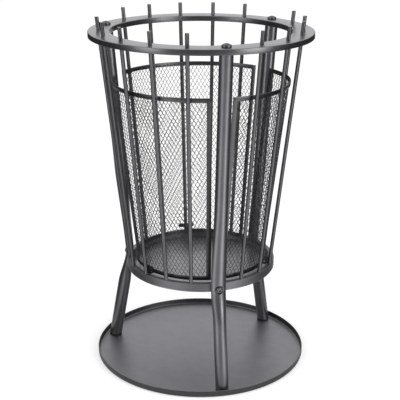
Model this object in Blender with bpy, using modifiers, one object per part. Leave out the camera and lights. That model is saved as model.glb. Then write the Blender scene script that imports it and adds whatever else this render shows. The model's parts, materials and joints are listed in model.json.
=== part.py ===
"""Fire basket with a lift-out spark screen, standing on a loose ash tray.

Metres, +Z up. The origin is the centre of the ash tray's underside. A bearing is an angle in
degrees from the front leg, which stands at -Y, counted towards +X. Each repeated piece is
modelled at bearing 0, where outwards is -Y, and then turned about Z.
"""

from math import atan2, copysign, cos, degrees, pi, radians, sin, sqrt

import bmesh
import bpy
from mathutils import Matrix

# Fits
CLEARANCE = 0.0003
LIFT_CLEARANCE = 0.001

# Pattern: legs with a bay of rods between each two
LEG_COUNT = 3
RODS_PER_BAY = 5

# Ash tray: a shallow pressed dish
TRAY_R = 0.1985
TRAY_HEIGHT = 0.0122
TRAY_CORNER_R = 0.0038
TRAY_SHEET = 0.0015

# Top ring: an inverted channel, open below
RING_OUTER_R = 0.200
RING_WIDTH = 0.038
RING_TOP_Z = 0.622
RING_DEPTH = 0.010
RING_WALL = 0.002
RING_EDGE = 0.001

# Base ring: a narrower inverted channel that carries the rods
BASE_OUTER_R = 0.1392
BASE_WIDTH = 0.0097
BASE_TOP_Z = 0.1940
BASE_DEPTH = 0.0143
BASE_WALL = 0.0015
BASE_EDGE = 0.0007

# Fire floor: a plate under the base ring
FLOOR_SHEET = 0.0015
FLOOR_INSET = 0.0012

# Rods
ROD_R = 0.0035
ROD_SPIKE = 0.023

# Legs: round tube, pressed flat where it is screwed to the base ring
LEG_TUBE_R = 0.0118
LEG_WALL = 0.0015
LEG_FLAT_WIDTH = 0.0272
LEG_FLAT_DEPTH = 0.012
LEG_BLEND_ABOVE = 0.150
LEG_BLEND_BELOW = 0.060
FOOT_INSET = 0.0210
FOOT_CAP_FLANGE = 0.0027
FOOT_CAP_PLUG = 0.012

# Top bolts and the threaded plugs in the legs' upper ends
TOP_BOLT_R = 0.004
TOP_BOLT_HEAD_R = 0.0085
TOP_BOLT_HEAD = 0.0060
TOP_BOLT_RIM = 0.0032
TOP_BOLT_LENGTH = 0.025
PLUG_LENGTH = 0.028

# Base screws and their nuts inside the base ring
BASE_SCREW_LIFT = 0.0060
BASE_SCREW_R = 0.003
BASE_SCREW_HEAD_R = 0.0058
BASE_SCREW_HEAD = 0.0033
BASE_SCREW_SOCKET_R = 0.0023
BASE_SCREW_SOCKET_DEPTH = 0.002
BASE_NUT_FLATS = 0.010

# Spark screens: a strip frame with expanded mesh on its inside, one for each bay
SCREEN_HEIGHT = 0.341
SCREEN_DROP = 0.0005
SCREEN_INSET = 0.0080
SCREEN_TOP_GAP_DEG = 13.0
SCREEN_BOTTOM_GAP_DEG = 8.0
SCREEN_RAIL = 0.008
SCREEN_SIDE_STRIP = 0.0085
SCREEN_STRIP_THICKNESS = 0.0015
SCREEN_SEGMENTS = 14
MESH_COLUMNS = 7
MESH_ROWS = 6
MESH_STRAND = 0.0022
MESH_INSET = 0.0035

# Brackets on the middle rod of each bay
BRACKET_WIDTH = 0.030
BRACKET_HEIGHT = 0.0075
BRACKET_LIFT = 0.0090
BRACKET_SHEET = 0.0015
BRACKET_STRAP = 0.007
BRACKET_STANDOFF = 0.0032
BRACKET_TOE = 0.0010

# Facets of the round pieces
RING_STEPS = 72
BOLT_STEPS = 16
ROD_SIDES = 12
LEG_SIDES = 16
DOME_STEPS = 4
CORNER_STEPS = 3

# Sizes that follow from those above
LEG_PITCH_DEG = 360 / LEG_COUNT
ROD_PITCH_DEG = LEG_PITCH_DEG / (RODS_PER_BAY + 1)
TRAY_TOP_Z = TRAY_SHEET
RING_INNER_R = RING_OUTER_R - RING_WIDTH
RING_MIDDLE_R = RING_OUTER_R - RING_WIDTH / 2
RING_UNDERSIDE_Z = RING_TOP_Z - RING_WALL
BASE_INNER_R = BASE_OUTER_R - BASE_WIDTH
BASE_MIDDLE_R = BASE_OUTER_R - BASE_WIDTH / 2
BASE_BOTTOM_Z = BASE_TOP_Z - BASE_DEPTH
BASE_SCREW_Z = BASE_BOTTOM_Z + BASE_SCREW_LIFT
ROD_FOOT_Z = BASE_TOP_Z + CLEARANCE
ROD_TOP_Z = RING_TOP_Z + ROD_SPIKE
ROD_SLOPE = (RING_MIDDLE_R - BASE_MIDDLE_R) / (RING_TOP_Z - BASE_TOP_Z)

LEG_FLAT_R = BASE_OUTER_R + CLEARANCE + LEG_FLAT_DEPTH / 2
LEG_TOP_Z = RING_UNDERSIDE_Z - CLEARANCE
FOOT_R = TRAY_R - FOOT_INSET
FOOT_CAP_Z = TRAY_TOP_Z + CLEARANCE
LEG_BOTTOM_Z = FOOT_CAP_Z + FOOT_CAP_FLANGE + CLEARANCE
LEG_UPPER_SLOPE = (RING_MIDDLE_R - LEG_FLAT_R) / (LEG_TOP_Z - BASE_TOP_Z)
LEG_LOWER_SLOPE = (LEG_FLAT_R - FOOT_R) / (BASE_BOTTOM_Z - LEG_BOTTOM_Z)

SCREEN_BOTTOM_Z = BASE_TOP_Z - SCREEN_DROP
SCREEN_TOP_Z = SCREEN_BOTTOM_Z + SCREEN_HEIGHT
SCREEN_BOTTOM_R = BASE_INNER_R - SCREEN_INSET
SCREEN_TOP_R = RING_INNER_R - LIFT_CLEARANCE
SCREEN_TOP_HALF_DEG = (LEG_PITCH_DEG - SCREEN_TOP_GAP_DEG) / 2
SCREEN_BOTTOM_HALF_DEG = (LEG_PITCH_DEG - SCREEN_BOTTOM_GAP_DEG) / 2
SCREEN_SAG = SCREEN_TOP_R * (1 - cos(radians(SCREEN_TOP_HALF_DEG / SCREEN_SEGMENTS)))

LEG_PLACES = {"front": 0.0, "rear_right": LEG_PITCH_DEG, "rear_left": -LEG_PITCH_DEG}
SCREEN_PLACES = {"left": -LEG_PITCH_DEG / 2, "right": LEG_PITCH_DEG / 2, "rear": 1.5 * LEG_PITCH_DEG}


def clear_scene():
    for obj in list(bpy.data.objects):
        bpy.data.objects.remove(obj)


def new_collection(name, parent):
    collection = bpy.data.collections.new(name)
    parent.children.link(collection)
    return collection


def material(name, colour, roughness, metallic):
    made = bpy.data.materials.new(name)
    made.use_nodes = True
    shader = made.node_tree.nodes["Principled BSDF"]
    shader.inputs["Base Color"].default_value = (*colour, 1.0)
    shader.inputs["Roughness"].default_value = roughness
    shader.inputs["Metallic"].default_value = metallic
    made.diffuse_color = (*colour, 1.0)
    return made


def turned_to(bearing):
    return Matrix.Rotation(radians(bearing), 4, "Z")


def mesh_from(name, bm, smooth=True):
    """A mesh datablock of the bmesh, shaded smooth up to edges of 35 degrees."""
    mesh = bpy.data.meshes.new(name)
    bm.to_mesh(mesh)
    bm.free()
    if smooth:
        mesh.shade_smooth()
        mesh.set_sharp_from_angle(angle=radians(35))
    return mesh


def place(name, mesh, finish, collection, parent=None, matrix=None):
    obj = bpy.data.objects.new(name, mesh)
    collection.objects.link(obj)
    if finish.name not in mesh.materials:
        mesh.materials.append(finish)
    obj.parent = parent
    obj.matrix_world = matrix or Matrix.Identity(4)
    return obj


def place_cutter(name, mesh, collection, matrix):
    cutter = bpy.data.objects.new(name, mesh)
    collection.objects.link(cutter)
    cutter.matrix_world = matrix
    cutter.hide_render = True
    cutter.display_type = "WIRE"
    return cutter


def cut(obj, cutter=None, cutters=None):
    """Takes one cutter, or all the cutters in a collection, out of the object."""
    boolean = obj.modifiers.new("cut", "BOOLEAN")
    boolean.operation = "DIFFERENCE"
    boolean.solver = "EXACT"
    if cutter:
        boolean.object = cutter
    else:
        boolean.operand_type = "COLLECTION"
        boolean.collection = cutters


def arc(centre_r, centre_z, radius, start, end, steps):
    """Points (r, z) of an arc, with its angles in degrees from +R towards +Z."""
    points = []
    for i in range(steps + 1):
        angle = radians(start + (end - start) * i / steps)
        points.append((centre_r + radius * cos(angle), centre_z + radius * sin(angle)))
    return points


def profile_mesh(name, points, closed):
    bm = bmesh.new()
    verts = [bm.verts.new((r, 0, z)) for r, z in points]
    for first, second in zip(verts, verts[1:]):
        bm.edges.new((first, second))
    if closed:
        bm.edges.new((verts[-1], verts[0]))
    return mesh_from(name, bm, smooth=False)


def add_screw(obj, steps):
    screw = obj.modifiers.new("turn", "SCREW")
    screw.axis = "Z"
    screw.angle = 2 * pi
    screw.steps = steps
    screw.render_steps = steps
    screw.use_merge_vertices = True
    screw.merge_threshold = 0.00001
    screw.use_smooth_shade = True


def cylinder_mesh(name, radius, low, high, sides, slope=0.0, centre_r=0.0):
    """An upright cylinder at y = -centre_r, which shifts outwards by slope for each unit of height."""
    bm = bmesh.new()
    bmesh.ops.create_cone(
        bm, cap_ends=True, segments=sides, radius1=radius, radius2=radius, depth=high - low
    )
    middle = (low + high) / 2
    for vert in bm.verts:
        height = vert.co.z + (high - low) / 2
        vert.co.y -= centre_r + slope * height
        vert.co.z += middle
    return mesh_from(name, bm)


def loft_mesh(name, rings, hollow):
    """Joins rings of points in turn. A hollow one closes on its first ring, a solid one has end faces."""
    bm = bmesh.new()
    rows = [[bm.verts.new(point) for point in ring] for ring in rings]
    pairs = list(zip(rows, rows[1:]))
    if hollow:
        pairs.append((rows[-1], rows[0]))
    else:
        bm.faces.new(rows[0])
        bm.faces.new(rows[-1])
    for lower, upper in pairs:
        for i, vert in enumerate(lower):
            j = (i + 1) % len(lower)
            bm.faces.new((vert, lower[j], upper[j], upper[i]))
    bmesh.ops.recalc_face_normals(bm, faces=bm.faces)
    return mesh_from(name, bm)


def channel_profile(outer_r, inner_r, top_z, depth, wall, edge):
    """Section of an inverted channel ring, from its outer top edge down its outer side."""
    bottom_z = top_z - depth
    return [
        (outer_r - edge, top_z),
        (outer_r, top_z - edge),
        (outer_r, bottom_z),
        (outer_r - wall, bottom_z),
        (outer_r - wall, top_z - wall),
        (inner_r + wall, top_z - wall),
        (inner_r + wall, bottom_z),
        (inner_r, bottom_z),
        (inner_r, top_z - edge),
        (inner_r + edge, top_z),
    ]


def make_ash_tray(collection, finish, parent):
    corner_r = TRAY_R - TRAY_CORNER_R
    inner_arc = arc(corner_r, TRAY_CORNER_R, TRAY_CORNER_R - TRAY_SHEET, -90, 0, CORNER_STEPS)
    outer_arc = arc(corner_r, TRAY_CORNER_R, TRAY_CORNER_R, 0, -90, CORNER_STEPS)
    rim = [(TRAY_R - TRAY_SHEET, TRAY_HEIGHT), (TRAY_R, TRAY_HEIGHT)]
    profile = [(0, TRAY_TOP_Z), *inner_arc, *rim, *outer_arc, (0, 0)]
    tray = place("ash_tray", profile_mesh("ash_tray", profile, False), finish, collection, parent)
    add_screw(tray, RING_STEPS)


def make_top_ring(collection, cutters, finish, parent):
    profile = channel_profile(
        RING_OUTER_R, RING_INNER_R, RING_TOP_Z, RING_DEPTH, RING_WALL, RING_EDGE
    )
    ring = place("top_ring", profile_mesh("top_ring", profile, True), finish, collection, parent)
    add_screw(ring, RING_STEPS)
    cut(ring, cutters=cutters)


def make_base_ring(collection, cutters, finish, parent):
    profile = channel_profile(
        BASE_OUTER_R, BASE_INNER_R, BASE_TOP_Z, BASE_DEPTH, BASE_WALL, BASE_EDGE
    )
    ring = place("base_ring", profile_mesh("base_ring", profile, True), finish, collection, parent)
    add_screw(ring, RING_STEPS)
    cut(ring, cutters=cutters)


def make_fire_floor(collection, finish, parent):
    top_z = BASE_BOTTOM_Z - CLEARANCE
    radius = BASE_OUTER_R - FLOOR_INSET
    mesh = cylinder_mesh("fire_floor", radius, top_z - FLOOR_SHEET, top_z, RING_STEPS)
    place("fire_floor", mesh, finish, collection, parent)


def rod_bearings():
    """The bearings of the rods, from the front leg round to the right."""
    slots = range(LEG_COUNT * (RODS_PER_BAY + 1))
    return [slot * ROD_PITCH_DEG for slot in slots if slot % (RODS_PER_BAY + 1)]


def make_rods(collection, finish, parent):
    mesh = cylinder_mesh(
        "rod", ROD_R, ROD_FOOT_Z, ROD_TOP_Z, ROD_SIDES, ROD_SLOPE, BASE_MIDDLE_R
    )
    for number, bearing in enumerate(rod_bearings(), 1):
        place(f"rod_{number:02d}", mesh, finish, collection, parent, turned_to(bearing))


def make_rod_cutters(collection):
    """Slanted holes for the rods through the top ring's web."""
    low = RING_UNDERSIDE_Z - RING_WALL
    high = RING_TOP_Z + RING_WALL
    start_r = BASE_MIDDLE_R + ROD_SLOPE * (low - BASE_TOP_Z)
    mesh = cylinder_mesh(
        "rod_hole", ROD_R + CLEARANCE, low, high, ROD_SIDES, ROD_SLOPE, start_r
    )
    for number, bearing in enumerate(rod_bearings(), 1):
        place_cutter(f"rod_hole_{number:02d}", mesh, collection, turned_to(bearing))


def tube_outline(inset, flatness, slope):
    """Points (across, outwards) of a leg's level section, inset from its skin.

    Flatness 0 is the round tube and 1 the pressed one. The slope stretches the round section,
    which is cut level through a slanting tube.
    """
    round_r = LEG_TUBE_R - inset
    end_r = LEG_FLAT_DEPTH / 2 - inset
    flat_run = (LEG_FLAT_WIDTH - LEG_FLAT_DEPTH) / 2
    stretch = sqrt(1 + slope * slope)
    points = []
    for i in range(LEG_SIDES):
        turn = 2 * pi * i / LEG_SIDES
        across = cos(turn)
        out = sin(turn)
        if abs(abs(atan2(out, across)) - pi / 2) < pi / 4 - 0.001:
            flat_across = flat_run * (pi / 2 - abs(atan2(out, across))) / (pi / 4)
            flat_out = copysign(end_r, out)
        else:
            end_turn = 2 * atan2(out, abs(across))
            flat_across = copysign(flat_run + end_r * cos(end_turn), across)
            flat_out = end_r * sin(end_turn)
        points.append((
            round_r * across * (1 - flatness) + flat_across * flatness,
            round_r * out * stretch * (1 - flatness) + flat_out * flatness,
        ))
    return points


def level_ring(outline, centre_r, z):
    return [(across, -centre_r - out, z) for across, out in outline]


def leg_centre_r(z):
    """How far out the middle of a leg lies at a height."""
    if z > BASE_TOP_Z:
        return LEG_FLAT_R + LEG_UPPER_SLOPE * (z - BASE_TOP_Z)
    return LEG_FLAT_R + LEG_LOWER_SLOPE * min(0, z - BASE_BOTTOM_Z)


def leg_rings(inset):
    """The leg's sections from foot to top: (height, flatness, slope).

    The flattening runs out slowly above the base ring and sooner below it.
    """
    above, below = LEG_BLEND_ABOVE / 3, LEG_BLEND_BELOW / 3
    sections = [
        (LEG_BOTTOM_Z, 0.0, LEG_LOWER_SLOPE),
        (BASE_BOTTOM_Z - 3 * below, 0.0, LEG_LOWER_SLOPE),
        (BASE_BOTTOM_Z - 2 * below, 0.25, 0.0),
        (BASE_BOTTOM_Z - below, 0.75, 0.0),
        (BASE_BOTTOM_Z, 1.0, 0.0),
        (BASE_TOP_Z, 1.0, 0.0),
        (BASE_TOP_Z + above, 0.80, 0.0),
        (BASE_TOP_Z + 2 * above, 0.40, 0.0),
        (BASE_TOP_Z + 3 * above, 0.0, LEG_UPPER_SLOPE),
        (LEG_TOP_Z, 0.0, LEG_UPPER_SLOPE),
    ]
    return [
        level_ring(tube_outline(inset, flatness, slope), leg_centre_r(z), z)
        for z, flatness, slope in sections
    ]


def make_legs(collection, cutters, finish, parent):
    mesh = loft_mesh("leg", leg_rings(0.0) + leg_rings(LEG_WALL)[::-1], hollow=True)
    for where, bearing in LEG_PLACES.items():
        leg = place(f"leg_{where}", mesh, finish, collection, parent, turned_to(bearing))
        cut(leg, cutters[where])


def make_foot_caps(collection, finish, parent):
    """Plastic plugs that close the legs' lower ends and stand on the tray."""
    flange_top = FOOT_CAP_Z + FOOT_CAP_FLANGE
    plug_inset = LEG_WALL + CLEARANCE
    sections = [
        (FOOT_CAP_Z, 0.0),
        (flange_top, 0.0),
        (flange_top, plug_inset),
        (flange_top + FOOT_CAP_PLUG, plug_inset),
    ]
    rings = [
        level_ring(tube_outline(inset, 0.0, LEG_LOWER_SLOPE), leg_centre_r(z), z)
        for z, inset in sections
    ]
    mesh = loft_mesh("foot_cap", rings, hollow=False)
    for where, bearing in LEG_PLACES.items():
        place(f"foot_cap_{where}", mesh, finish, collection, parent, turned_to(bearing))


def make_tube_plugs(collection, cutters, finish, parent):
    """Threaded plugs in the legs' upper ends, which take the top bolts."""
    outline = tube_outline(LEG_WALL + CLEARANCE, 0.0, LEG_UPPER_SLOPE)
    heights = (LEG_TOP_Z - PLUG_LENGTH, LEG_TOP_Z)
    rings = [level_ring(outline, leg_centre_r(z), z) for z in heights]
    mesh = loft_mesh("tube_plug", rings, hollow=False)
    for where, bearing in LEG_PLACES.items():
        plug = place(f"tube_plug_{where}", mesh, finish, collection, parent, turned_to(bearing))
        cut(plug, cutters[where])


def make_top_bolts(collection, finish, parent):
    """Low-domed button-headed bolts through the top ring into the legs."""
    rise = TOP_BOLT_HEAD - TOP_BOLT_RIM
    dome_r = (TOP_BOLT_HEAD_R**2 + rise**2) / (2 * rise)
    edge_angle = degrees(atan2(dome_r - rise, TOP_BOLT_HEAD_R))
    dome = arc(0, TOP_BOLT_HEAD - dome_r, dome_r, 90, edge_angle, DOME_STEPS)
    rest = [
        (TOP_BOLT_HEAD_R, 0), (TOP_BOLT_R, 0), (TOP_BOLT_R, -TOP_BOLT_LENGTH), (0, -TOP_BOLT_LENGTH),
    ]
    mesh = profile_mesh("top_bolt", [*dome, *rest], False)
    seat = Matrix.Translation((0, -RING_MIDDLE_R, RING_TOP_Z + CLEARANCE))
    for where, bearing in LEG_PLACES.items():
        bolt = place(
            f"top_bolt_{where}", mesh, finish, collection, parent, turned_to(bearing) @ seat
        )
        add_screw(bolt, BOLT_STEPS)


def make_bolt_cutters(collection):
    """Holes for the top bolts, through the ring's web and the plugs below it."""
    low = LEG_TOP_Z - PLUG_LENGTH - CLEARANCE
    mesh = cylinder_mesh(
        "top_bolt_hole", TOP_BOLT_R + CLEARANCE, low, RING_TOP_Z + RING_WALL, BOLT_STEPS,
        centre_r=RING_MIDDLE_R,
    )
    return {
        where: place_cutter(f"top_bolt_hole_{where}", mesh, collection, turned_to(bearing))
        for where, bearing in LEG_PLACES.items()
    }


def outwards_at(distance, z):
    """Turns a piece's own +Z outwards at bearing 0 and sets it at a distance from the middle."""
    return Matrix.Translation((0, -distance, z)) @ Matrix.Rotation(pi / 2, 4, "X")


def nut_span():
    """How far out the nuts' inner and outer faces lie, inside the base ring's channel."""
    corner = BASE_NUT_FLATS / sqrt(3)
    wall_r = (BASE_OUTER_R - BASE_WALL) * cos(pi / RING_STEPS)
    return BASE_INNER_R + BASE_WALL + CLEARANCE, sqrt(wall_r**2 - corner**2) - CLEARANCE


def make_screw_cutters(collection):
    """Holes for the base screws, through each leg, the ring's outer wall and the nut."""
    low = BASE_INNER_R + BASE_WALL + CLEARANCE / 2
    high = LEG_FLAT_R + LEG_FLAT_DEPTH
    mesh = cylinder_mesh(
        "base_screw_hole", BASE_SCREW_R + CLEARANCE, 0, high - low, BOLT_STEPS
    )
    return {
        where: place_cutter(
            f"base_screw_hole_{where}", mesh, collection,
            turned_to(bearing) @ outwards_at(low, BASE_SCREW_Z),
        )
        for where, bearing in LEG_PLACES.items()
    }


def make_base_screws(collection, cutters, finish, parent):
    """Button-head socket screws from outside each leg into the base ring."""
    seat_r = LEG_FLAT_R + LEG_FLAT_DEPTH / 2 + CLEARANCE
    length = seat_r - nut_span()[0]
    crown_r = BASE_SCREW_SOCKET_R + (BASE_SCREW_HEAD_R - BASE_SCREW_SOCKET_R) / 3
    shoulder_r = (BASE_SCREW_HEAD_R + crown_r) / 2
    profile = [
        (0, BASE_SCREW_HEAD),
        (crown_r, BASE_SCREW_HEAD),
        (shoulder_r, BASE_SCREW_HEAD * 0.8),
        (BASE_SCREW_HEAD_R, BASE_SCREW_HEAD * 0.25),
        (BASE_SCREW_HEAD_R, 0),
        (BASE_SCREW_R, 0),
        (BASE_SCREW_R, -length),
        (0, -length),
    ]
    mesh = profile_mesh("base_screw", profile, False)
    socket_mesh = cylinder_mesh(
        "hex_socket", BASE_SCREW_SOCKET_R, BASE_SCREW_HEAD - BASE_SCREW_SOCKET_DEPTH,
        BASE_SCREW_HEAD * 2, 6,
    )
    for where, bearing in LEG_PLACES.items():
        matrix = turned_to(bearing) @ outwards_at(seat_r, BASE_SCREW_Z)
        screw = place(f"base_screw_{where}", mesh, finish, collection, parent, matrix)
        add_screw(screw, BOLT_STEPS)
        cut(screw, place_cutter(f"hex_socket_{where}", socket_mesh, cutters, matrix))


def make_base_nuts(collection, cutters, finish, parent):
    low, high = nut_span()
    mesh = cylinder_mesh("base_nut", BASE_NUT_FLATS / sqrt(3), 0, high - low, 6)
    for where, bearing in LEG_PLACES.items():
        matrix = turned_to(bearing) @ outwards_at(low, BASE_SCREW_Z)
        nut = place(f"base_nut_{where}", mesh, finish, collection, parent, matrix)
        cut(nut, cutters[where])


def screen_r(z):
    """The outside of a screen's frame at a height."""
    rise = (z - SCREEN_BOTTOM_Z) / SCREEN_HEIGHT
    return SCREEN_BOTTOM_R + (SCREEN_TOP_R - SCREEN_BOTTOM_R) * rise


def screen_half_deg(z):
    """Half the angle that a screen spans at a height."""
    rise = (z - SCREEN_BOTTOM_Z) / SCREEN_HEIGHT
    return SCREEN_BOTTOM_HALF_DEG + (SCREEN_TOP_HALF_DEG - SCREEN_BOTTOM_HALF_DEG) * rise


def on_screen(bearing, z, inset=0.0):
    radius = screen_r(z) - inset
    return radius * sin(radians(bearing)), -radius * cos(radians(bearing)), z


def frame_mesh():
    """The frame's outer skin: a curved grid with its middle left out."""
    heights = (
        SCREEN_BOTTOM_Z, SCREEN_BOTTOM_Z + SCREEN_RAIL, SCREEN_TOP_Z - SCREEN_RAIL, SCREEN_TOP_Z,
    )
    rows = len(heights) - 1
    bm = bmesh.new()
    bmesh.ops.create_grid(bm, x_segments=SCREEN_SEGMENTS, y_segments=rows, size=0.5)
    middle = [
        face for face in bm.faces
        if abs(face.calc_center_median().x) < 0.5 - 1 / SCREEN_SEGMENTS
        and abs(face.calc_center_median().y) < 0.5 - 1 / rows
    ]
    bmesh.ops.delete(bm, geom=middle, context="FACES")
    for vert in bm.verts:
        column = round((vert.co.x + 0.5) * SCREEN_SEGMENTS)
        z = heights[round((vert.co.y + 0.5) * rows)]
        inner_deg = screen_half_deg(z) - degrees(SCREEN_SIDE_STRIP / screen_r(z))
        if column in (0, SCREEN_SEGMENTS):
            bearing = copysign(screen_half_deg(z), vert.co.x)
        else:
            bearing = inner_deg * (2 * (column - 1) / (SCREEN_SEGMENTS - 2) - 1)
        vert.co = on_screen(bearing, z)
    return mesh_from("screen_frame", bm)


def net_mesh():
    """The mesh's middle surface, with one diamond face for each gap.

    Each cell of a grid gets a point in its middle, and the cells' own edges then dissolve.
    """
    bm = bmesh.new()
    bmesh.ops.create_grid(bm, x_segments=MESH_COLUMNS, y_segments=MESH_ROWS, size=0.5)
    inner_edges = [edge for edge in bm.edges if not edge.is_boundary]
    bmesh.ops.poke(bm, faces=bm.faces[:])
    bmesh.ops.dissolve_edges(bm, edges=inner_edges, use_verts=False)
    level_edges = [
        edge for edge in bm.edges
        if edge.is_boundary and abs(edge.verts[0].co.y - edge.verts[1].co.y) < 0.01
    ]
    bmesh.ops.subdivide_edges(bm, edges=level_edges, cuts=1)
    inset = SCREEN_STRIP_THICKNESS + CLEARANCE + SCREEN_SAG + MESH_STRAND / 2
    for vert in bm.verts:
        z = SCREEN_BOTTOM_Z + SCREEN_HEIGHT / 2 + vert.co.y * (SCREEN_HEIGHT - 2 * MESH_INSET)
        half_deg = screen_half_deg(z) - degrees(MESH_INSET / screen_r(z))
        vert.co = on_screen(2 * half_deg * vert.co.x, z, inset)
    return mesh_from("screen_mesh", bm, smooth=False)


def make_screens(collection, frame_finish, mesh_finish, parents):
    frame = frame_mesh()
    net = net_mesh()
    for where, bearing in SCREEN_PLACES.items():
        matrix = turned_to(bearing)
        strip = place(f"screen_frame_{where}", frame, frame_finish, collection, parents[where], matrix)
        solidify = strip.modifiers.new("thickness", "SOLIDIFY")
        solidify.thickness = SCREEN_STRIP_THICKNESS
        solidify.offset = -1
        solidify.use_even_offset = True
        strands = place(f"screen_mesh_{where}", net, mesh_finish, collection, parents[where], matrix)
        wire = strands.modifiers.new("strands", "WIREFRAME")
        wire.thickness = MESH_STRAND
        wire.offset = 0
        wire.use_boundary = True
        wire.use_replace = True
        wire.use_even_offset = True
        wire.use_relative_offset = False


def strap_mesh(plate_out_r, plate_low_z):
    """A flat strap, bent from the plate's foot down behind the screen's rail and under it."""
    run_out = plate_out_r
    run_in = plate_out_r - BRACKET_SHEET - BRACKET_STANDOFF
    sole_top = SCREEN_BOTTOM_Z - CLEARANCE
    toe_r = SCREEN_BOTTOM_R - SCREEN_STRIP_THICKNESS - BRACKET_TOE
    outline = [
        (run_out, plate_low_z),
        (run_out, plate_low_z + BRACKET_SHEET),
        (run_in, plate_low_z + BRACKET_SHEET),
        (run_in, sole_top),
        (toe_r, sole_top),
        (toe_r, sole_top - BRACKET_SHEET),
        (run_in + BRACKET_SHEET, sole_top - BRACKET_SHEET),
        (run_in + BRACKET_SHEET, plate_low_z),
    ]
    curve = bpy.data.curves.new("bracket_strap", "CURVE")
    curve.dimensions = "2D"
    curve.fill_mode = "BOTH"
    curve.extrude = BRACKET_STRAP / 2
    spline = curve.splines.new("POLY")
    spline.points.add(len(outline) - 1)
    spline.use_cyclic_u = True
    for point, (r, z) in zip(spline.points, outline):
        point.co = (r, z, 0, 1)
    guide = bpy.data.objects.new("bracket_strap", curve)
    bpy.context.scene.collection.objects.link(guide)
    graph = bpy.context.evaluated_depsgraph_get()
    mesh = bpy.data.meshes.new_from_object(guide.evaluated_get(graph))
    bpy.data.objects.remove(guide)
    bm = bmesh.new()
    bm.from_mesh(mesh)
    bmesh.ops.remove_doubles(bm, verts=bm.verts, dist=0.00001)
    # The outline's first axis becomes outwards and its second one up
    upright = Matrix.Rotation(-pi / 2, 4, "Z") @ Matrix.Rotation(pi / 2, 4, "X")
    bmesh.ops.transform(bm, matrix=upright, verts=bm.verts)
    bm.to_mesh(mesh)
    bm.free()
    return mesh


def make_brackets(collection, cutters, finish, parent):
    """T-shaped brackets welded to the middle rods, which carry the screens."""
    plate_low_z = BASE_TOP_Z + BRACKET_LIFT
    rod_inner_r = BASE_MIDDLE_R + ROD_SLOPE * (plate_low_z - BASE_TOP_Z) - ROD_R
    plate_out_r = rod_inner_r - CLEARANCE
    bm = bmesh.new()
    bmesh.ops.create_cube(bm, size=1.0)
    bmesh.ops.scale(bm, vec=(BRACKET_WIDTH, BRACKET_SHEET, BRACKET_HEIGHT), verts=bm.verts)
    middle = (0, BRACKET_SHEET / 2 - plate_out_r, plate_low_z + BRACKET_HEIGHT / 2)
    bmesh.ops.translate(bm, vec=middle, verts=bm.verts)
    plate = mesh_from("screen_bracket", bm, smooth=False)
    strap = strap_mesh(plate_out_r, plate_low_z)
    for where, bearing in SCREEN_PLACES.items():
        matrix = turned_to(bearing)
        bracket = place(f"screen_bracket_{where}", plate, finish, collection, parent, matrix)
        join = bracket.modifiers.new("strap", "BOOLEAN")
        join.operation = "UNION"
        join.solver = "EXACT"
        join.object = place_cutter(f"bracket_strap_{where}", strap, cutters, matrix)


def new_empty(name, collection, parent=None):
    empty = bpy.data.objects.new(name, None)
    empty.empty_display_size = 0.05
    collection.objects.link(empty)
    empty.parent = parent
    return empty


def main():
    clear_scene()
    scene_collection = bpy.context.scene.collection
    parts = new_collection("fire_basket", scene_collection)
    cutters = new_collection("cutters", scene_collection)
    ring_cutters = new_collection("top_ring_cutters", cutters)
    base_cutters = new_collection("base_ring_cutters", cutters)

    coat = material("black_powder_coat", (0.130, 0.130, 0.135), 0.38, 0.85)
    mesh_coat = material("black_mesh_coat", (0.110, 0.110, 0.115), 0.45, 0.85)
    black_zinc = material("black_zinc", (0.040, 0.040, 0.042), 0.35, 0.85)
    bright_zinc = material("bright_zinc", (0.55, 0.56, 0.57), 0.35, 1.0)
    black_plastic = material("black_plastic", (0.012, 0.012, 0.013), 0.55, 0.0)

    basket = new_empty("basket_lift", parts)
    lifts = {where: new_empty(f"screen_{where}_lift", parts, basket) for where in SCREEN_PLACES}

    make_rod_cutters(ring_cutters)
    bolt_holes = make_bolt_cutters(ring_cutters)
    screw_holes = make_screw_cutters(base_cutters)

    make_ash_tray(parts, coat, None)
    make_top_ring(parts, ring_cutters, coat, basket)
    make_base_ring(parts, base_cutters, coat, basket)
    make_fire_floor(parts, coat, basket)
    make_rods(parts, coat, basket)
    make_legs(parts, screw_holes, coat, basket)
    make_foot_caps(parts, black_plastic, basket)
    make_tube_plugs(parts, bolt_holes, bright_zinc, basket)
    make_top_bolts(parts, black_zinc, basket)
    make_base_screws(parts, cutters, black_zinc, basket)
    make_base_nuts(parts, screw_holes, bright_zinc, basket)
    make_brackets(parts, cutters, coat, basket)
    make_screens(parts, coat, mesh_coat, lifts)


main()
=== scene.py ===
"""Looks of the fire basket with spark screen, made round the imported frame.

Metres, +Z up. A bearing is an angle in degrees from the front leg, which stands at -Y, counted
towards +X. Each repeated piece is modelled at bearing 0, where outwards is -Y, and then turned
about Z.
"""

import json
from math import acos, atan2, copysign, cos, hypot, pi, radians, sin, sqrt, tan

import bmesh
import bpy
from mathutils import Matrix, Vector

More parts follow.
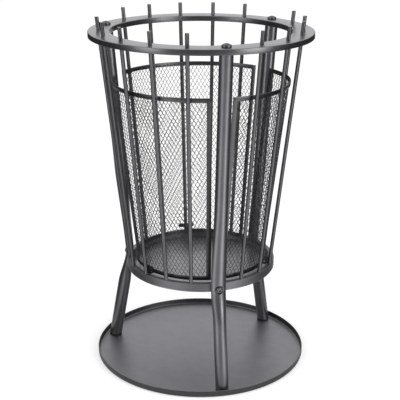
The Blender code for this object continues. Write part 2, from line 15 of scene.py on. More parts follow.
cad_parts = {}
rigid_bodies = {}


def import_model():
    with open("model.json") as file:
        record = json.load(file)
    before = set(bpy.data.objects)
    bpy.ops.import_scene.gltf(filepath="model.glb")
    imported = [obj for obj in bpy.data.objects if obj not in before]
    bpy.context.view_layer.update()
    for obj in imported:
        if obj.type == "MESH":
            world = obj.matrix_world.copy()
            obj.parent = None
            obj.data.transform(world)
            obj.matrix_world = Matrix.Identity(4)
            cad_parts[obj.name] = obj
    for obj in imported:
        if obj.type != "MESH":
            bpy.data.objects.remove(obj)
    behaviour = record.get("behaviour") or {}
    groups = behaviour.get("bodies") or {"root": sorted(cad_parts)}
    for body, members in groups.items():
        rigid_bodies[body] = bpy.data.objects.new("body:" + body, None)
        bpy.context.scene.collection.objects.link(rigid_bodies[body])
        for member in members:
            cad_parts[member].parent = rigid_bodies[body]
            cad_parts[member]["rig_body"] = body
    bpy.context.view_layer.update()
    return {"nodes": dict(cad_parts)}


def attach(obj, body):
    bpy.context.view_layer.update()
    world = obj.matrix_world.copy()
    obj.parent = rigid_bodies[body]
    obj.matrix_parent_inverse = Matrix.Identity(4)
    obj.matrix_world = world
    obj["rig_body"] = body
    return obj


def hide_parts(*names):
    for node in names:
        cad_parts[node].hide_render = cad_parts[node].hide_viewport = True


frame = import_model()

# Sizes of the solids, as in the part's source
CLEARANCE = 0.0003
LEG_PITCH_DEG = 120.0
RODS_PER_BAY = 5
ROD_PITCH_DEG = LEG_PITCH_DEG / (RODS_PER_BAY + 1)

TRAY_R = 0.1985
TRAY_HEIGHT = 0.0122
TRAY_CORNER_R = 0.0038
TRAY_SHEET = 0.0015

RING_OUTER_R = 0.200
RING_INNER_R = 0.162
RING_MIDDLE_R = 0.181
RING_TOP_Z = 0.622
RING_DEPTH = 0.010
RING_WALL = 0.002

BASE_OUTER_R = 0.1392
BASE_INNER_R = 0.1295
BASE_MIDDLE_R = 0.13435
BASE_TOP_Z = 0.1940
BASE_DEPTH = 0.0143
BASE_BOTTOM_Z = BASE_TOP_Z - BASE_DEPTH
BASE_WALL = 0.0015

FLOOR_SHEET = 0.0015
FLOOR_R = 0.1380

ROD_R = 0.0035
ROD_FOOT_Z = BASE_TOP_Z + CLEARANCE
ROD_TOP_Z = 0.645
ROD_SLOPE = (RING_MIDDLE_R - BASE_MIDDLE_R) / (RING_TOP_Z - BASE_TOP_Z)

LEG_TUBE_R = 0.0118
LEG_WALL = 0.0015
LEG_FLAT_WIDTH = 0.0272
LEG_FLAT_DEPTH = 0.012
LEG_BLEND_ABOVE = 0.150
LEG_BLEND_BELOW = 0.060
LEG_TOP_Z = RING_TOP_Z - RING_WALL - CLEARANCE
LEG_FLAT_R = BASE_OUTER_R + CLEARANCE + LEG_FLAT_DEPTH / 2
FOOT_R = 0.1775
FOOT_CAP_Z = TRAY_SHEET + CLEARANCE
FOOT_CAP_FLANGE = 0.0027
FOOT_CAP_PLUG = 0.012
LEG_BOTTOM_Z = FOOT_CAP_Z + FOOT_CAP_FLANGE + CLEARANCE
LEG_UPPER_SLOPE = (RING_MIDDLE_R - LEG_FLAT_R) / (LEG_TOP_Z - BASE_TOP_Z)
LEG_LOWER_SLOPE = (LEG_FLAT_R - FOOT_R) / (BASE_BOTTOM_Z - LEG_BOTTOM_Z)

TOP_BOLT_R = 0.004
TOP_BOLT_HEAD_R = 0.0085
TOP_BOLT_HEAD = 0.0060
TOP_BOLT_RIM = 0.0032
TOP_BOLT_LENGTH = 0.025
SCREW_R = 0.003
SCREW_HEAD_R = 0.0058
SCREW_Z = BASE_BOTTOM_Z + 0.0060

SCREEN_HEIGHT = 0.341
SCREEN_BOTTOM_Z = 0.1935
SCREEN_TOP_Z = SCREEN_BOTTOM_Z + SCREEN_HEIGHT
SCREEN_BOTTOM_R = 0.1215
SCREEN_TOP_R = 0.161
SCREEN_BOTTOM_HALF_DEG = 56.0
SCREEN_TOP_HALF_DEG = 53.5
SCREEN_RAIL = 0.008
SCREEN_SIDE_STRIP = 0.0085
SCREEN_STRIP = 0.0015
SCREEN_SLOPE = (SCREEN_TOP_R - SCREEN_BOTTOM_R) / SCREEN_HEIGHT

BRACKET_WIDTH = 0.030
BRACKET_HEIGHT = 0.0075
BRACKET_LIFT = 0.0090
BRACKET_SHEET = 0.0015
BRACKET_STRAP = 0.007
BRACKET_STANDOFF = 0.0032
BRACKET_TOE = 0.0010

# Forms that only the fine pieces have: the crown of a leg's pressed side, the seat pressed in round
# its screw, how far the screw's head sinks and stands, and the rounding of edges
LEG_CROWN_R = 0.0155
SCREW_SEAT_R = 0.0066
SCREW_SEAT_EDGE = 0.0018
SCREW_SEAT_REACH = 0.010
SCREW_SINK = 0.0030
SCREW_STAND = 0.0014
TOP_BOLT_SOCKET_R = 0.0029
TOP_BOLT_SOCKET_DEPTH = 0.0025
SCREW_SOCKET_R = 0.0023
SCREW_SOCKET_DEPTH = 0.0018
SOCKET_LIP = 0.0001
RING_EDGE = 0.0013
BASE_EDGE = 0.0009
WELD_BEAD = 0.0007
ROD_TIP_EDGE = 0.0004
CAP_EDGE = 0.0006
BOLT_EDGE = 0.0003
STRIP_EDGE = 0.00035
BRACKET_CORNER_R = 0.0015
BRACKET_BEND = 0.0006
BRACKET_TIP = 0.0003
BRACKET_EDGE = 0.0002

# How finely round forms are divided, and the angle from which an edge is shaded sharp
PLATE_STEPS = 192
RING_STEPS = 240
ROD_STEPS = 24
LEG_SIDES = 96
CAP_SIDES = 48
HEAD_SIDES = 48
SHARP_DEG = 32

# Expanded mesh: diamonds with their long way up, cut from flat sheet and rolled to the cone
DIAMOND_WIDE = 0.0076
DIAMOND_TALL = 0.0130
BOND_LENGTH = 0.0008
STRAND_WIDTH = 0.0012
STRAND_THICKNESS = 0.0010
STRAND_TILT = 0.0006
MESH_EDGE = 0.0035

LEG_PLACES = {"front": 0.0, "rear_right": 120.0, "rear_left": -120.0}
SCREEN_PLACES = {"left": -60.0, "right": 60.0, "rear": 180.0}

# Camera, found from the edges of the rings and the tray in the photo
CAMERA_BEARING = -12.9
CAMERA_DISTANCE = 1.7376
CAMERA_HEIGHT = 0.8997
CAMERA_PITCH_DEG = 18.928
CAMERA_ROLL_DEG = 0.197
CAMERA_LENS = 88.48
CAMERA_SENSOR = 36.0
CAMERA_SHIFT_X = -0.00178

# Studio: azimuths are degrees from the camera's bearing
FLOOR_DROP = 0.0004
FLOOR_HALF_SIZE = 12
FLOOR_TONE = (0.96, 0.96, 0.96, 1.0)
FLOOR_GLOW = 0.25
WORLD_LIGHT = 0.80
FLOOR_CARD_DROP = 0.0002
FLOOR_CARD_R = 9
FLOOR_CARD_GLOW = 2.3
FLOOR_CARD_NEAR = (0.26, 0.42)
FLOOR_CARD_NEAR_LEVEL = 0.22
FLOOR_CARD_LEVELS = (
    (-180, 0.45), (-150, 0.40), (-120, 0.03), (-84, 0.01), (-62, 0.12), (-38, 0.74), (-18, 0.28),
    (0, 0.22), (18, 0.29), (38, 1.0), (62, 0.12), (84, 0.01), (120, 0.03), (150, 0.40), (180, 0.45),
)
CARD_R = 1.9
CARD_STEP_DEG = 8
SIDE_CARDS = ((-162, -82, 0.95), (82, 162, 0.95))
SIDE_CARD_LEVEL = 0.04
FRONT_CARDS = ((-82, 82, 3.0),)
FRONT_CARD_LEVEL = 0.20
SOFTBOX_DISTANCE = 1.7
SOFTBOX_HEIGHT = 0.85
SOFTBOX_SIZE = (0.8, 1.3)
SOFTBOX_AIM = Vector((0, 0, 0.35))
SOFTBOXES = {"softbox_left": (-50, 8), "softbox_right": (50, 12)}

# Coats: features for each metre of the clouded tone and the uneven gloss, the strength of the
# grain, and how level a face is, as the size of its normal's z, where the painted shade of upright
# faces ends
CLOUDS = 38.0
GLOSS_CLOUDS = 90.0
GRAIN_STRENGTH = 0.5
UPRIGHT_SHADE_TO_LEVEL = (0.55, 0.85)

# Sockets of a Mix node that is set to colours
MIX_FIRST, MIX_SECOND, MIX_RESULT = 6, 7, 2


def turned_to(bearing):
    return Matrix.Rotation(radians(bearing), 4, "Z")


def smoothed(x):
    """0 below 0, 1 above 1, and a smooth step between."""
    x = max(0.0, min(1.0, x))
    return x * x * (3 - 2 * x)


# Materials


def add_node(tree, kind, settings=None, values=None):
    made = tree.nodes.new(kind)
    for name, value in (settings or {}).items():
        setattr(made, name, value)
    for name, value in (values or {}).items():
        made.inputs[name].default_value = value
    return made


def noise(tree, coords, scale, detail=2.0, roughness=0.5):
    """The Fac output of a noise texture, scale in features for each metre."""
    made = add_node(
        tree, "ShaderNodeTexNoise",
        values={"Scale": scale, "Detail": detail, "Roughness": roughness},
    )
    tree.links.new(coords, made.inputs["Vector"])
    return made.outputs["Fac"]


def ramp(tree, factor, stops):
    """A colour ramp, its stops given as (position, colour)."""
    made = tree.nodes.new("ShaderNodeValToRGB")
    elements = made.color_ramp.elements
    while len(elements) < len(stops):
        elements.new(0.5)
    for element, (position, colour) in zip(elements, stops):
        element.position = position
        element.color = (*colour, 1.0)
    tree.links.new(factor, made.inputs["Fac"])
    return made.outputs["Color"]


def spread(tree, factor, low, high):
    """Maps a factor of 0 to 1 onto low to high."""
    made = add_node(tree, "ShaderNodeMapRange", values={"To Min": low, "To Max": high})
    tree.links.new(factor, made.inputs["Value"])
    return made.outputs["Result"]


def share_between(tree, value, low, high):
    """How far a value is from low to high, as a factor of 0 to 1."""
    made = add_node(tree, "ShaderNodeMapRange", values={"From Min": low, "From Max": high})
    tree.links.new(value, made.inputs["Value"])
    return made.outputs["Result"]


def mixed_colour(tree, factor, plain, linked):
    """From a plain colour at a factor of 0 to a linked one at 1."""
    made = add_node(tree, "ShaderNodeMix", {"data_type": "RGBA"})
    tree.links.new(factor, made.inputs["Factor"])
    made.inputs[MIX_FIRST].default_value = (*plain, 1.0)
    tree.links.new(linked, made.inputs[MIX_SECOND])
    return made.outputs[MIX_RESULT]


def coated_steel(name, dark, light, roughness, metallic, grain, grain_height, wall=None):
    """A satin coat: clouded tone, uneven gloss and a fine orange-peel grain.

    Dark and light are the ends of the tone, roughness is (lowest, highest), grain is the number of
    grains for each metre and grain_height their height in metres. Wall, where given, is a darker
    colour painted on upright faces: painted shade for how dark such faces show.
    """
    made = bpy.data.materials.new(name)
    made.use_nodes = True
    tree = made.node_tree
    shader = tree.nodes["Principled BSDF"]
    coords = tree.nodes.new("ShaderNodeTexCoord").outputs["Object"]
    clouds = noise(tree, coords, CLOUDS, detail=4.0, roughness=0.6)
    tone = ramp(tree, clouds, [(0.30, dark), (0.70, light)])
    # Painted shade: upright faces take the darker wall colour, which gives way to the tone as a
    # face turns level.
    if wall:
        normal = tree.nodes.new("ShaderNodeNewGeometry").outputs["Normal"]
        parts = tree.nodes.new("ShaderNodeSeparateXYZ")
        tree.links.new(normal, parts.inputs["Vector"])
        level = add_node(tree, "ShaderNodeMath", {"operation": "ABSOLUTE"})
        tree.links.new(parts.outputs["Z"], level.inputs[0])
        flat = share_between(tree, level.outputs["Value"], *UPRIGHT_SHADE_TO_LEVEL)
        tone = mixed_colour(tree, flat, wall, tone)
    tree.links.new(tone, shader.inputs["Base Color"])
    gloss = spread(tree, noise(tree, coords, GLOSS_CLOUDS, detail=3.0), *roughness)
    tree.links.new(gloss, shader.inputs["Roughness"])
    shader.inputs["Metallic"].default_value = metallic
    bump = add_node(
        tree, "ShaderNodeBump", values={"Strength": GRAIN_STRENGTH, "Distance": grain_height}
    )
    grains = noise(tree, coords, grain, detail=2.0, roughness=0.55)
    tree.links.new(grains, bump.inputs["Height"])
    tree.links.new(bump.outputs["Normal"], shader.inputs["Normal"])
    return made


def make_materials():
    # The anthracite coats are copies of one powder coat at tones set to how bright each part shows:
    # the tray, top ring and fire floor coats are lighter, as painted light, and the dark and frame
    # coats are darker, as painted shade.
    return {
        "powder_coat": coated_steel(
            "anthracite_powder_coat", (0.205, 0.203, 0.217), (0.232, 0.230, 0.245),
            (0.28, 0.34), 0.95, 900.0, 0.00003,
        ),
        # The wall colours of the tray and top ring coats are painted shade on their upright faces.
        "tray_coat": coated_steel(
            "anthracite_tray_coat", (0.240, 0.237, 0.254), (0.268, 0.265, 0.283),
            (0.40, 0.46), 0.95, 900.0, 0.00003, wall=(0.115, 0.114, 0.120),
        ),
        "top_ring_coat": coated_steel(
            "anthracite_top_ring_coat", (0.225, 0.223, 0.238), (0.262, 0.260, 0.276),
            (0.27, 0.33), 0.95, 900.0, 0.00003, wall=(0.155, 0.154, 0.161),
        ),
        "base_ring_coat": coated_steel(
            "anthracite_base_ring_coat", (0.195, 0.193, 0.206), (0.220, 0.218, 0.232),
            (0.44, 0.52), 0.95, 900.0, 0.00003,
        ),
        "dark_powder_coat": coated_steel(
            "anthracite_dark_coat", (0.145, 0.144, 0.151), (0.170, 0.169, 0.177),
            (0.27, 0.33), 0.95, 900.0, 0.00003,
        ),
        # Painted light: the fire floor is the same coat made about twice as light.
        "lit_floor_coat": coated_steel(
            "anthracite_floor_coat", (0.410, 0.406, 0.424), (0.450, 0.446, 0.465),
            (0.32, 0.38), 0.95, 700.0, 0.00004,
        ),
        "frame_coat": coated_steel(
            "anthracite_frame_coat", (0.095, 0.094, 0.099), (0.120, 0.119, 0.125),
            (0.30, 0.36), 0.95, 900.0, 0.00003,
        ),
        "mesh_coat": coated_steel(
            "anthracite_mesh_coat", (0.100, 0.100, 0.106), (0.130, 0.130, 0.137),
            (0.36, 0.46), 0.85, 1100.0, 0.00005,
        ),
        "black_zinc": coated_steel(
            "black_zinc_plate", (0.100, 0.098, 0.104), (0.130, 0.128, 0.135),
            (0.26, 0.34), 0.85, 2500.0, 0.00001,
        ),
        "bright_zinc": coated_steel(
            "bright_zinc_plate", (0.50, 0.51, 0.52), (0.62, 0.63, 0.64),
            (0.28, 0.42), 1.0, 1800.0, 0.00001,
        ),
        "foot_plastic": coated_steel(
            "moulded_foot_plastic", (0.010, 0.010, 0.011), (0.016, 0.016, 0.017),
            (0.50, 0.62), 0.0, 2200.0, 0.00003,
        ),
    }


# Mesh tools


def plain_mesh(name, bm):
    """Turns the bmesh into a mesh and frees it."""
    mesh = bpy.data.meshes.new(name)
    bm.to_mesh(mesh)
    bm.free()
    return mesh


def shade(mesh):
    mesh.shade_smooth()
    mesh.set_sharp_from_angle(angle=radians(SHARP_DEG))
    return mesh


def finished(name, bm):
    """The bmesh as a mesh with its faces turned outwards, smooth but for sharp edges."""
    bmesh.ops.recalc_face_normals(bm, faces=bm.faces)
    return shade(plain_mesh(name, bm))


def with_modifiers(mesh, modifiers):
    """The mesh after a list of (kind, settings), applied in turn."""
    holder = bpy.data.objects.new(mesh.name, mesh)
    bpy.context.scene.collection.objects.link(holder)
    for kind, settings in modifiers:
        modifier = holder.modifiers.new(kind, kind)
        for name, value in settings.items():
            setattr(modifier, name, value)
    graph = bpy.context.evaluated_depsgraph_get()
    made = bpy.data.meshes.new_from_object(holder.evaluated_get(graph))
    made.name = mesh.name
    bpy.data.objects.remove(holder)
    return shade(made)


def rounded(points, radii, steps=4, closed=True):
    """A polyline with its corners rounded. A radius of 0 leaves a corner as it is."""
    made = []
    for i, point in enumerate(points):
        here = Vector(point)
        radius = radii[i] if isinstance(radii, (list, tuple)) else radii
        if radius == 0 or (not closed and i in (0, len(points) - 1)):
            made.append(point)
            continue
        back = (Vector(points[i - 1]) - here).normalized()
        on = (Vector(points[(i + 1) % len(points)]) - here).normalized()
        half = acos(max(-1.0, min(1.0, back.dot(on)))) / 2
        centre = here + (back + on).normalized() * radius / sin(half)
        first = here + back * radius / tan(half) - centre
        last = here + on * radius / tan(half) - centre
        start = atan2(first.y, first.x)
        turn = atan2(last.y, last.x) - start
        turn = (turn + pi) % (2 * pi) - pi
        for step in range(steps + 1):
            angle = start + turn * step / steps
            made.append((centre.x + radius * cos(angle), centre.y + radius * sin(angle)))
    return made


def turned(name, profile, steps, closed, slope=0.0, centre_r=0.0):
    """Turns a profile of (r, z) points about Z. An open one starts and ends on the axis.

    The slope then shears it outwards with height, from centre_r at its lowest point.
    """
    bm = bmesh.new()
    verts = [bm.verts.new((r, 0, z)) for r, z in profile]
    edges = [bm.edges.new(pair) for pair in zip(verts, verts[1:])]
    if closed:
        edges.append(bm.edges.new((verts[-1], verts[0])))
    bmesh.ops.spin(
        bm, geom=verts + edges, cent=(0, 0, 0), axis=(0, 0, 1), angle=2 * pi, steps=steps,
        use_merge=True,
    )
    bmesh.ops.remove_doubles(bm, verts=bm.verts, dist=0.000002)
    low = min(z for _, z in profile)
    for vert in bm.verts:
        vert.co.y -= centre_r + slope * (vert.co.z - low)
    return finished(name, bm)


def lofted(name, rings, hollow=False, matrix=None):
    """Joins rings of points in turn. A hollow one closes on its first ring, a solid has ends."""
    bm = bmesh.new()
    rows = [[bm.verts.new(point) for point in ring] for ring in rings]
    pairs = list(zip(rows, rows[1:]))
    if hollow:
        pairs.append((rows[-1], rows[0]))
    else:
        bm.faces.new(rows[0])
        bm.faces.new(rows[-1])
    for lower, upper in pairs:
        for i, vert in enumerate(lower):
            j = (i + 1) % len(lower)
            bm.faces.new((vert, lower[j], upper[j], upper[i]))
    if matrix:
        bmesh.ops.transform(bm, matrix=matrix, verts=bm.verts)
    return finished(name, bm)


def extruded(name, outline, depth, matrix):
    """A flat outline of (x, y) points, made depth thick about z = 0 and set in place."""
    rings = [[(x, y, z) for x, y in outline] for z in (-depth / 2, depth / 2)]
    return lofted(name, rings, matrix=matrix)


def dress(node, mesh, slot, bearing=0.0, look=None):
    """Puts a fine piece where a CAD node is, on the node's body.

    The look names the material where it isn't the slot's own.
    """
    own = mesh.copy()
    own.transform(turned_to(bearing))
    own.materials.clear()
    own.materials.append(materials[look or slot])
    piece = bpy.data.objects.new(f"{node}_fine", own)
    pieces.objects.link(piece)
    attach(piece, frame["nodes"][node]["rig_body"])
    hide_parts(node)


# Pieces


def make_tray():
    """A pressed dish with a soft corner and a rounded rim."""
    corner_r = TRAY_R - TRAY_CORNER_R
    inner = TRAY_R - TRAY_SHEET
    rim = TRAY_SHEET * 0.45
    profile = [
        (0, TRAY_SHEET), (corner_r * 0.35, TRAY_SHEET), (corner_r * 0.7, TRAY_SHEET),
        (inner, TRAY_SHEET), (inner, TRAY_HEIGHT), (TRAY_R, TRAY_HEIGHT), (TRAY_R, 0), (0, 0),
    ]
    radii = [0, 0, 0, TRAY_CORNER_R - TRAY_SHEET, rim, rim, TRAY_CORNER_R, 0]
    mesh = turned("ash_tray", rounded(profile, radii, 8, False), PLATE_STEPS, False)
    dress("ash_tray", mesh, "powder_coat", look="tray_coat")


def channel(outer_r, inner_r, top_z, depth, wall, edge):
    """Section of an inverted channel ring with its edges rounded."""
    bottom_z = top_z - depth
    points = [
        (outer_r, top_z), (outer_r, bottom_z), (outer_r - wall, bottom_z),
        (outer_r - wall, top_z - wall), (inner_r + wall, top_z - wall), (inner_r + wall, bottom_z),
        (inner_r, bottom_z), (inner_r, top_z),
    ]
    tip = wall * 0.3
    return rounded(points, [edge, tip, tip, edge / 2, edge / 2, tip, tip, edge], 5)


def make_rings():
    top = channel(RING_OUTER_R, RING_INNER_R, RING_TOP_Z, RING_DEPTH, RING_WALL, RING_EDGE)
    top_mesh = turned("top_ring", top, RING_STEPS, True)
    dress("top_ring", top_mesh, "powder_coat", look="top_ring_coat")
    base = channel(BASE_OUTER_R, BASE_INNER_R, BASE_TOP_Z, BASE_DEPTH, BASE_WALL, BASE_EDGE)
    base_mesh = turned("base_ring", base, PLATE_STEPS, True)
    dress("base_ring", base_mesh, "powder_coat", look="base_ring_coat")


def make_fire_floor():
    top_z = BASE_BOTTOM_Z - CLEARANCE
    low_z = top_z - FLOOR_SHEET
    edge = FLOOR_SHEET * 0.35
    profile = [(0, top_z), (FLOOR_R, top_z), (FLOOR_R, low_z), (0, low_z)]
    outline = rounded(profile, [0, edge, edge, 0], 4, False)
    mesh = turned("fire_floor", outline, PLATE_STEPS, False)
    dress("fire_floor", mesh, "powder_coat", look="lit_floor_coat")


def make_rods():
    """Cut rods with a weld bead at the foot and under the top ring, and the tip's edge broken."""
    bead = WELD_BEAD
    web_z = RING_TOP_Z - RING_WALL
    profile = [
        (0, ROD_FOOT_Z),
        (ROD_R + bead, ROD_FOOT_Z),
        (ROD_R + bead * 0.9, ROD_FOOT_Z + bead * 0.5),
        (ROD_R + bead * 0.35, ROD_FOOT_Z + bead * 1.4),
        (ROD_R, ROD_FOOT_Z + bead * 2.4),
        (ROD_R, web_z - bead * 2.4),
        (ROD_R + bead * 0.5, web_z - bead * 1.2),
        (ROD_R + bead * 1.4, web_z),
        (ROD_R, web_z),
        (ROD_R, ROD_TOP_Z - ROD_TIP_EDGE),
        (ROD_R - ROD_TIP_EDGE, ROD_TOP_Z),
        (0, ROD_TOP_Z),
    ]
    mesh = turned("rod", profile, ROD_STEPS, False, ROD_SLOPE, BASE_MIDDLE_R)
    steps_per_leg = RODS_PER_BAY + 1
    places = [place for place in range(len(LEG_PLACES) * steps_per_leg) if place % steps_per_leg]
    for number, place in enumerate(places, 1):
        bearing = place * ROD_PITCH_DEG
        dress(f"rod_{number:02d}", mesh, "powder_coat", bearing, "dark_powder_coat")


def tube_outline(inset, flatness, slope, sides=LEG_SIDES):
    """Points (across, outwards) of a leg's level section, inset from its skin.

    Flatness 0 is the round tube and 1 the pressed one, which is flat inside and crowned outside.
    The slope stretches the round section, which is cut level through a slanting tube.
    """
    round_r = LEG_TUBE_R - inset
    end_r = LEG_FLAT_DEPTH / 2 - inset
    half = LEG_FLAT_WIDTH / 2 - inset
    flat_run = half - end_r
    crown_r = LEG_CROWN_R - inset
    edge_out = end_r - crown_r + sqrt(crown_r**2 - half**2)
    stretch = sqrt(1 + slope * slope)
    points = []
    for i in range(sides):
        turn = 2 * pi * i / sides
        across, out = cos(turn), sin(turn)
        aside = abs(atan2(out, across))
        if out >= 0:
            flat_across = half * across
            flat_out = end_r - crown_r + sqrt(crown_r**2 - flat_across**2)
        elif abs(aside - pi / 2) < pi / 4 - 0.001:
            flat_across = flat_run * (pi / 2 - aside) / (pi / 4)
            flat_out = -end_r
        else:
            end_turn = 2 * atan2(-out, abs(across))
            flat_across = copysign(flat_run + end_r * cos(end_turn), across)
            flat_out = edge_out - (end_r + edge_out) * sin(end_turn)
        points.append((
            round_r * across * (1 - flatness) + flat_across * flatness,
            round_r * out * stretch * (1 - flatness) + flat_out * flatness,
        ))
    return points


def leg_centre_r(z):
    if z > BASE_TOP_Z:
        return LEG_FLAT_R + LEG_UPPER_SLOPE * (z - BASE_TOP_Z)
    return LEG_FLAT_R + LEG_LOWER_SLOPE * min(0, z - BASE_BOTTOM_Z)


def leg_flatness(z):
    """1 at the base ring, 0 a long way above it and a short way below it."""
    if z > BASE_TOP_Z:
        rise = (z - BASE_TOP_Z) / LEG_BLEND_ABOVE
        return 1 - smoothed(rise) * 0.6 - min(1.0, rise) ** 2 * 0.4
    return 1 - smoothed((BASE_BOTTOM_Z - z) / LEG_BLEND_BELOW)


def leg_slope(z):
    if z > BASE_TOP_Z:
        return LEG_UPPER_SLOPE
    return LEG_LOWER_SLOPE if z < BASE_BOTTOM_Z else 0.0


def leg_ring(inset, z):
    """A level ring of the leg, whose outer side is pressed in to a flat seat for the screw."""
    seat = LEG_FLAT_DEPTH / 2 - inset - SCREW_SINK
    ring = []
    for across, out in tube_outline(inset, leg_flatness(z), leg_slope(z)):
        if out > 0:
            beyond = (hypot(across, z - SCREW_Z) - SCREW_SEAT_R) / SCREW_SEAT_EDGE
            out = seat + (out - seat) * smoothed(beyond)
        ring.append((across, -leg_centre_r(z) - out, z))
    return ring


def heights(marks):
    """Heights from a list of (height, step), each step kept up to the next height."""
    made = []
    for (start, step), (end, _) in zip(marks, marks[1:]):
        count = max(1, round((end - start) / step))
        made += [start + (end - start) * i / count for i in range(count)]
    return made + [marks[-1][0]]


def make_legs():
    """Bent tubes, pressed where they meet the base ring, with close rings round the screw."""
    seat_low, seat_high = SCREW_Z - SCREW_SEAT_REACH, SCREW_Z + SCREW_SEAT_REACH
    outside = heights([
        (LEG_BOTTOM_Z, 0.03), (BASE_BOTTOM_Z - LEG_BLEND_BELOW, 0.002), (seat_low, 0.0006),
        (seat_high, 0.005), (BASE_TOP_Z + LEG_BLEND_ABOVE, 0.06), (LEG_TOP_Z, 1),
    ])
    inside = heights([
        (LEG_BOTTOM_Z, 0.08), (BASE_BOTTOM_Z - LEG_BLEND_BELOW, 0.006), (seat_low, 0.001),
        (seat_high, 0.02), (BASE_TOP_Z + LEG_BLEND_ABOVE, 0.3), (LEG_TOP_Z, 1),
    ])
    rings = [leg_ring(0.0, z) for z in outside]
    rings += [leg_ring(LEG_WALL, z) for z in reversed(inside)]
    mesh = lofted("leg", rings, hollow=True)
    for where, bearing in LEG_PLACES.items():
        dress(f"leg_{where}", mesh, "powder_coat", bearing)


def make_foot_caps():
    """Moulded plugs with a soft-edged flange under each leg."""
    flange_top = FOOT_CAP_Z + FOOT_CAP_FLANGE
    plug_inset = LEG_WALL + CLEARANCE
    plug_top = flange_top + FOOT_CAP_PLUG
    edge = CAP_EDGE
    sections = [
        (FOOT_CAP_Z, edge * 1.5), (FOOT_CAP_Z + edge / 3, edge / 2), (FOOT_CAP_Z + edge, 0.0),
        (flange_top - edge / 3, 0.0), (flange_top, edge / 3), (flange_top, plug_inset),
        (plug_top - edge, plug_inset), (plug_top, plug_inset + edge),
    ]
    rings = [
        [
            (across, -leg_centre_r(z) - out, z)
            for across, out in tube_outline(inset, 0.0, LEG_LOWER_SLOPE, CAP_SIDES)
        ]
        for z, inset in sections
    ]
    mesh = lofted("foot_cap", rings)
    for where, bearing in LEG_PLACES.items():
        dress(f"foot_cap_{where}", mesh, "foot_plastic", bearing)


def circle(radius, z):
    angles = [2 * pi * i / HEAD_SIDES for i in range(HEAD_SIDES)]
    return [(radius * cos(angle), radius * sin(angle), z) for angle in angles]


def hexagon(corner_r, z):
    """A hexagon with as many points as the circles it is joined to."""
    made = []
    for i in range(HEAD_SIDES):
        angle = 2 * pi * i / HEAD_SIDES
        reach = corner_r * cos(pi / 6) / cos((angle % (pi / 3)) - pi / 6)
        made.append((reach * cos(angle), reach * sin(angle), z))
    return made


def socket(corner_r, top_z, depth):
    """The two rings of a hexagon socket that starts just under the head's top."""
    lip_z = top_z - SOCKET_LIP
    return [hexagon(corner_r, lip_z), hexagon(corner_r, lip_z - depth)]


def make_top_bolts():
    """Low-domed button heads with a shallow hexagon socket, on plain shanks."""
    rise = TOP_BOLT_HEAD - TOP_BOLT_RIM
    dome_r = (TOP_BOLT_HEAD_R**2 + rise**2) / (2 * rise)
    rim_r = TOP_BOLT_HEAD_R - BOLT_EDGE
    mouth_r = TOP_BOLT_SOCKET_R + 0.0004
    rings = [
        circle(TOP_BOLT_R, -TOP_BOLT_LENGTH), circle(TOP_BOLT_R, 0), circle(rim_r, 0),
        circle(TOP_BOLT_HEAD_R, BOLT_EDGE), circle(TOP_BOLT_HEAD_R, TOP_BOLT_RIM - BOLT_EDGE),
    ]
    dome_steps = 10
    for step in range(dome_steps + 1):
        across = rim_r + (mouth_r - rim_r) * step / dome_steps
        height = TOP_BOLT_HEAD - dome_r + sqrt(dome_r**2 - across**2)
        rings.append(circle(across, height))
    rings += socket(TOP_BOLT_SOCKET_R, height, TOP_BOLT_SOCKET_DEPTH)
    seat = Matrix.Translation((0, -RING_MIDDLE_R, RING_TOP_Z + CLEARANCE))
    mesh = lofted("top_bolt", rings, matrix=seat)
    for where, bearing in LEG_PLACES.items():
        dress(f"top_bolt_{where}", mesh, "black_zinc", bearing)


def make_base_screws():
    """Button heads with a hexagon socket, pulled a little way into the pressed tube."""
    seat_r = LEG_FLAT_R + LEG_FLAT_DEPTH / 2 + CLEARANCE
    length = seat_r - (BASE_INNER_R + BASE_WALL + CLEARANCE)
    mouth_r = SCREW_SOCKET_R + 0.0005
    head = SCREW_STAND + SCREW_SINK
    rings = [
        circle(SCREW_R, -length), circle(SCREW_R, -SCREW_SINK),
        circle(SCREW_HEAD_R - 0.0002, -SCREW_SINK),
    ]
    dome_steps, first_deg = 8, 10
    for step in range(dome_steps + 1):
        angle = radians(first_deg + (90 - first_deg) * step / dome_steps)
        across = mouth_r + (SCREW_HEAD_R - mouth_r) * cos(angle)
        height = head * sin(angle) - SCREW_SINK
        rings.append(circle(across, height))
    rings += socket(SCREW_SOCKET_R, height, SCREW_SOCKET_DEPTH)
    outwards = Matrix.Translation((0, -seat_r, SCREW_Z)) @ Matrix.Rotation(pi / 2, 4, "X")
    mesh = lofted("base_screw", rings, matrix=outwards)
    for where, bearing in LEG_PLACES.items():
        dress(f"base_screw_{where}", mesh, "black_zinc", bearing, look="dark_powder_coat")


def screen_r(z):
    return SCREEN_BOTTOM_R + SCREEN_SLOPE * (z - SCREEN_BOTTOM_Z)


def screen_half(z):
    """Half the angle that a screen spans at a height, in radians."""
    rise = (z - SCREEN_BOTTOM_Z) / SCREEN_HEIGHT
    return radians(SCREEN_BOTTOM_HALF_DEG + (SCREEN_TOP_HALF_DEG - SCREEN_BOTTOM_HALF_DEG) * rise)


def on_screen(bearing, z, inset=0.0):
    radius = screen_r(z) - inset
    return Vector((radius * sin(bearing), -radius * cos(bearing), z))


